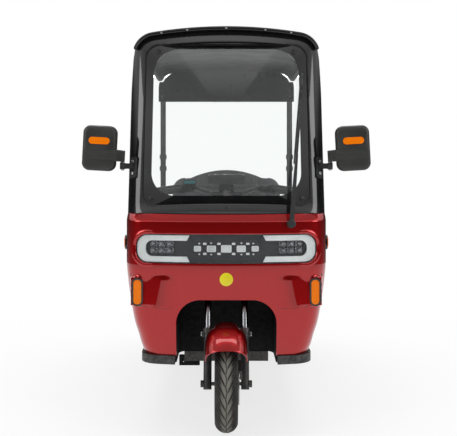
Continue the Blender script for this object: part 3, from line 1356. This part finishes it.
backPad = {"at": (0, 1589, 700), "tilt": 4.0, "thick": 62, "fill": 0.75, "cap": 8, "half": 347, "shoulder": 84,
           "top": 400.0, "headHalf": 232, "headTop": 455, "headArc": 520,
           "channels": (-180, 0, 180), "middle": 225}


def makeBenchBack():
    t = radians(backPad["tilt"])
    half, r, arc = backPad["half"], backPad["shoulder"], backPad["headArc"]
    _, atY, atZ = backPad["at"]

    def toPlace(x, y, z):
        return place(x, atY + y * cos(t) + z * sin(t), atZ - y * sin(t) + z * cos(t))

    outline = []
    for i in range(97):
        x = -half + 2 * half * i / 96
        top = backPad["top"]
        edge = half - abs(x)
        if edge < r:
            top = backPad["top"] - r + sqrt(max(0, r ** 2 - (r - edge) ** 2))
        if abs(x) < backPad["headHalf"]:
            top = max(top, backPad["headTop"] - arc + sqrt(arc ** 2 - x * x) - 3)
        outline.append((x, top - 5))
    outline = [(-half, 10), (half, 10)] + list(reversed(outline))
    sheets = [[toPlace(x, y, z) for x, z in outline] for y in (9, backPad["thick"] - 9)]
    piece = prism("benchBackrest", *sheets)
    puff(piece, backPad["cap"])
    for v in piece.data.vertices:
        x = v.co.x * 1000
        y = v.co.y * 1000 + midY - atY
        z = v.co.z * 1000 - atZ
        depth = y * cos(t) - z * sin(t)
        if depth < backPad["thick"] / 2:
            dip = max(exp(-((x - c) / 7.0) ** 2) for c in backPad["channels"]) * ease(20, 60, z)
            v.co.y += 0.0045 * dip
        if z < 2:
            v.co.z += (2 - z) / 1000
    shade(piece, 180)
    dress(piece, "seatVinyl")
    seat(piece, "chassis", "seat", "rear_back_pad")
    tree = BVHTree.FromObject(piece, bpy.context.evaluated_depsgraph_get())
    lift = backPad["middle"]
    local = PadFrame({"at": (0, atY + lift * sin(t), atZ + lift * cos(t)), "tilt": 90 - backPad["tilt"]})
    local.back, local.up = Vector((0, sin(t), cos(t))), Vector((0, -cos(t), sin(t)))
    verts, faces = [], []
    for c in backPad["channels"]:
        for off in (-seamHalf, seamHalf):
            stitchLine(verts, faces, tree, local, [(c + off, -170 + stitchPitch * i) for i in range(38)])
    seat(addPiece("benchBackrestStitches", verts, faces, "thread", 60), "chassis", "seat")


makeBenchBack()
print("seats padded")

# mirrors: soft-edged shells with a ribbed band, drawn upright and turned a little; layers are depth and growth
mirrorForm = {
    "width": 152, "height": 204, "depth": 52, "corner": 34, "at": (570, 128, 1233), "turn": 3.0, "footTurn": 42,
    "front": [(-4.6, -10), (-0.5, -8), (0, -5.5), (-1, -2.5), (-5, -0.4), (-12, 0)],
    "back": [(22, 0), (12, -1.5), (5, -5), (1.5, -10), (0, -17), (-0.6, -30), (-0.8, -50), (-0.9, -73)],
    "bandAcross": (-115, -113, -108, -100, -92, -86, -83, -80, -77, -70, -60, -40, 0, 40, 60, 68, 73),
    "bandLow": -56, "ribs": 5, "ribHeight": 3.0, "lug": 35, "pinIn": 26, "pinBack": 6, "armThick": 33,
    "footDrop": 71, "footScrews": (-27, 27),
}


def makeMirrors():
    m = mirrorForm
    t = radians(m["turn"])
    h = m["depth"] / 2
    layers = [(h + y, grow) for y, grow in m["front"]] + [(-h + y, grow) for y, grow in m["back"]]
    for s in (-1, 1):
        side = sideName(s)

        def toPlace(x, y, z, s=s):
            px, pz = x * cos(t) - z * sin(t), x * sin(t) + z * cos(t)
            return place(s * (m["at"][0] + px), m["at"][1] + y, m["at"][2] + pz)

        rings = []
        for y, grow in layers:
            outline = roundRect(m["width"] + 2 * grow, m["height"] + 2 * grow, max(2.0, m["corner"] + grow), 10)
            rings.append([toPlace(x, y, z) for x, z in outline])
        shell = stackRings("mirrorShell_" + side, rings, "mirrorCase", 50)
        front, back = [], []
        for i in range(49):
            share = i / 48
            lift = 4.0 * ease(0, 0.08, share) * (1 - ease(0.9, 1.0, share))
            ripple = abs(sin(pi * m["ribs"] * share)) * ease(0.06, 0.12, share) * (1 - ease(0.86, 0.94, share))
            line, rear = [], []
            for x in m["bandAcross"]:
                top = -6 + 5 * (1 - ((x + 20) / 95) ** 2)
                z = lerp(m["bandLow"], top, share)
                ribs = m["ribHeight"] * ripple * ease(-84, -76, x)
                edge = 3.5 * (1 - ease(0, 16, 76 - abs(x))) if x > 0 else 4 * (1 - ease(-115, -106, x))
                line.append(toPlace(x, -h + 4 - lift - ribs + edge, z))
                rear.append(toPlace(x, h - 20, z))
            front.append(line)
            back.append(rear)
        band = shellBetween("mirrorBand_" + side, front, back, "mirrorCase", 50)
        softEdges(band, 0.002, 50)
        # the drawing's one node holds both shells
        seat(shell, "chassis", "black_matte", *(["mirror_shells"] if s < 0 else []))
        seat(band, "chassis", "black_matte")
        a0 = asin((screen["halfWidth"] - screen["reach"]) / bowR)
        r = screen["reach"] / (1 - sin(a0))
        cx = screen["halfWidth"] - screen["reach"] - r * sin(a0)
        cy = bowR * (1 - cos(a0)) + r * cos(a0)
        turn, out = radians(m["footTurn"]), r + 9.3
        up = upScreen(m["at"][2] - m["footDrop"])
        facing = (s * sin(turn), -cos(turn) * cos(lean), cos(turn) * sin(lean))
        footX, footY = s * (cx + out * sin(turn)), cy - out * cos(turn)
        turnedSet("mirrorScrews_" + side, ("chassis", "steel"), "steel", 18,
                  [(onScreen(footX, footY, up + dz), facing) for dz in m["footScrews"]], screwProfile(8, 4))
        # nut below the arm and pin up into the lug
        pinTop = m["at"][2] - (m["width"] / 2 + m["lug"]) * abs(sin(t)) + m["bandLow"] * cos(t) - 0.3
        pinX, pinY = s * (m["at"][0] - m["width"] / 2 - m["pinIn"]), m["at"][1] + m["pinBack"]
        turnedSet("mirrorPivot_" + side, ("chassis", "steel"), "steel", 6,
                  [(place(pinX, pinY, pinTop - m["armThick"]), (0, 0, -1))],
                  [(8, -1), (8, 3), (6.5, 5), (0.05, 5.6)])
        turnedSet("mirrorPin_" + side, ("chassis", "steel"), "steel", 24,
                  [(place(pinX, pinY, pinTop - 4.5), (0, 0, 1))],
                  [(9.3, 0), (9.3, 12), (8, 13.5), (0.05, 13.6)])


makeMirrors()
print("mirrors made")

# ribbed mats on the floor, one ahead of the seat and one along each side
matForm = {"front": 430, "back": 585, "half": 340, "pitch": 15, "height": 3.2, "seat": 0.3, "base": 1.2,
           "sideAcross": (236, 262, 300, 340, 366), "sideFront": 600, "sideStretch": 3.55}


def layMat(name, xs, rows):
    top = [[place(x, y, floorTop + z) for x in xs] for y, z in rows]
    low = [[place(x, y, floorTop + matForm["seat"]) for x in xs] for y, z in rows]
    seat(shellBetween(name, top, low, "rubber", 30), "chassis", "rubber")


def makeMats():
    rows = []
    start, pitch = matForm["front"], matForm["pitch"]
    count = int((matForm["back"] - start) / (pitch / 6))
    for i in range(count + 1):
        y = start + (matForm["back"] - start) * i / count
        lift = matForm["height"] * ease(0.25, 0.6, abs(((y - start) / pitch) % 1 - 0.5) * 2)
        rows.append((y, matForm["base"] + lift))
    layMat("footMat", [-matForm["half"] + 2 * matForm["half"] * i / 12 for i in range(13)], rows)
    along = [(matForm["sideFront"] + (y - start) * matForm["sideStretch"], z) for y, z in rows]
    for s in (-1, 1):
        layMat("sideMat_" + sideName(s), [s * x for x in matForm["sideAcross"]], along)


makeMats()

# instrument face, with a plain ring and pointer marks
dial = {"width": 150, "height": 74, "lift": 14.3 + 880, "tilt": radians(24), "marks": 21}


def makeDial():
    t = dial["tilt"]

    def toPlace(x, y, z):
        return onSteering(x, -6 + y * cos(t) - z * sin(t), dial["lift"] + 12 + y * sin(t) + z * cos(t))

    def ringAt(grow, corner, z):
        return [toPlace(x, y, z) for x, y in roundRect(dial["width"] + grow, dial["height"] + grow, corner, 8)]

    rings = [ringAt(grow, 18 + grow / 2, z) for grow, z in ((10, 63.5), (10, 66), (6, 68), (0, 68), (-3, 66.2))]
    seat(stackRings("dialBezel", rings, "blackMatte", 40), "steering", "black_matte")
    pane = [ringAt(-5, 16, z) for z in (66.3, 66.9)]
    seat(stackRings("dialScreen", pane, "blackGloss", 40), "steering", "black_gloss")
    marks, faces = [], []
    sides = ((0, 1, 3, 2), (4, 5, 7, 6), (0, 1, 5, 4), (2, 3, 7, 6), (0, 2, 6, 4), (1, 3, 7, 5))
    for i in range(dial["marks"]):
        a = radians(200 - 220 * i / 20)
        base = len(marks)
        for r in (22, 28 if i % 5 else 31):
            for w in (-0.8, 0.8):
                for z in (67.0, 67.3):
                    marks.append(toPlace(-30 + r * cos(a) - w * sin(a), 2 + r * sin(a) + w * cos(a), z))
        faces += [tuple(base + k for k in quad) for quad in sides]
    seat(addPiece("dialMarks", marks, faces, "lampWhite", 30), "steering", "lamp_white")


makeDial()
print("mats and dial made")

# side markers, wiper boss and the display on the bar; a marker's rings are distance out, width and height
marker = {
    "y": 215, "z": 803,
    "rim": [(449.6, 44, 68), (462, 44, 68), (464.8, 41, 65), (464.8, 33.5, 57.5), (460, 32.6, 56.6)],
    "lens": [(459.6, 32.4, 56.4), (464.5, 31.8, 55.8), (467.6, 27, 51), (469, 18, 42)],
}
boss = {"pivot": (0.277, -0.824016, 0.891304), "axis": (0.197857, -0.951114, 0.237139),
        "profile": [(18, 26), (19, 28), (19, 42), (17, 45.5), (11, 47), (10, 46), (0.05, 46)]}
display = {"x": -177, "y": 56, "z": 960, "width": 64, "height": 34, "tilt": radians(52)}


def makeMarkers():
    for s in (-1, 1):
        side = "left" if s > 0 else "right"
        for kind, finish, slot in (("rim", "blackGloss", "black_gloss"), ("lens", "amber", "amber")):
            rings = []
            for x, w, h in marker[kind]:
                outline = roundRect(w, h, w / 2 - 0.6, 10)
                rings.append([place(s * x, marker["y"] + u, marker["z"] + v) for u, v in outline])
            seat(stackRings("marker" + kind.capitalize() + "_" + side, rings, finish, 40), "chassis", slot)


def makeBoss():
    turnedSet("wiperBoss", ("wiper", "black_matte"), "blackMatte", 32, [(Vector(boss["pivot"]), boss["axis"])],
              boss["profile"])


def makeDisplay():
    t = display["tilt"]

    def ringAt(grow, corner, out):
        ring = []
        for x, up in roundRect(display["width"] + grow, display["height"] + grow, corner, 6):
            y, z = up * cos(t) - out * sin(t), up * sin(t) + out * cos(t)
            ring.append(onSteering(display["x"] + x, display["y"] + y, display["z"] + z))
        return ring

    case = ((-6, -13), (0, -10), (0, -2), (-2, 0), (-7, 0), (-8, -1))
    rings = [ringAt(grow, 7 + grow / 2, out) for grow, out in case]
    seat(stackRings("displayCase", rings, "blackMatte", 40), "steering", "black_matte")
    for name, out in (("displayBack", -13.4), ("displayFace", -0.9)):
        face = [ringAt(-9, 3, out + d) for d in (0, 0.5)]
        seat(stackRings(name, face, "teal", 40), "steering", "black_gloss")
    stalk = [onSteering(display["x"], y, z) for y, z in ((78, 929), (74, 938), (67, 946), (60, 953))]
    arm = sweepPath("displayStalk", stalk, circleOutline(6, 12), (1, 0, 0), "blackMatte")
    seat(arm, "steering", "black_matte")


makeMarkers()
makeBoss()
makeDisplay()
print("markers, boss and display made")

# finishes for the drawing's own solids
solidFinish = {
    "frameCoat": ("frame", "rear_posts", "fork_crown", "fork_sliders", "handlebar", "rear_rails", "crossbars",
                  "steering_neck"),
    "blackMatte": ("floor_board", "mirror_arms", "dashboard", "rear_bumper", "wiper_arm", "instrument"),
    "linerBlack": ("wheel_liner", "front_bracket"), "blackGloss": ("rear_valance", "lamp_rims"),
    "lampGrey": ("lamp_housing",), "lampWhite": ("light_guides",), "clearLens": ("lamp_lens",),
    "amber": ("amber_lenses",), "redLens": ("tail_lamps",), "mirror": ("mirror_glasses",),
    "redPaint": ("seat_box",), "battery": ("battery",), "rubber": ("wiper_blade",), "gripRubber": ("grips",),
    "darkSteel": ("rear_axle", "leaf_springs", "brake_levers", "brake_caliper"), "motorAlloy": ("motor",),
    "chrome": ("fork_tubes",), "steel": ("brake_disc",),
    "alloy": ("front_rim", "rear_rim_left", "rear_rim_right"),
}
for finish, nodes in solidFinish.items():
    for node in nodes:
        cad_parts[node].data.materials.clear()
        dress(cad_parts[node], finish)
print("solids finished")
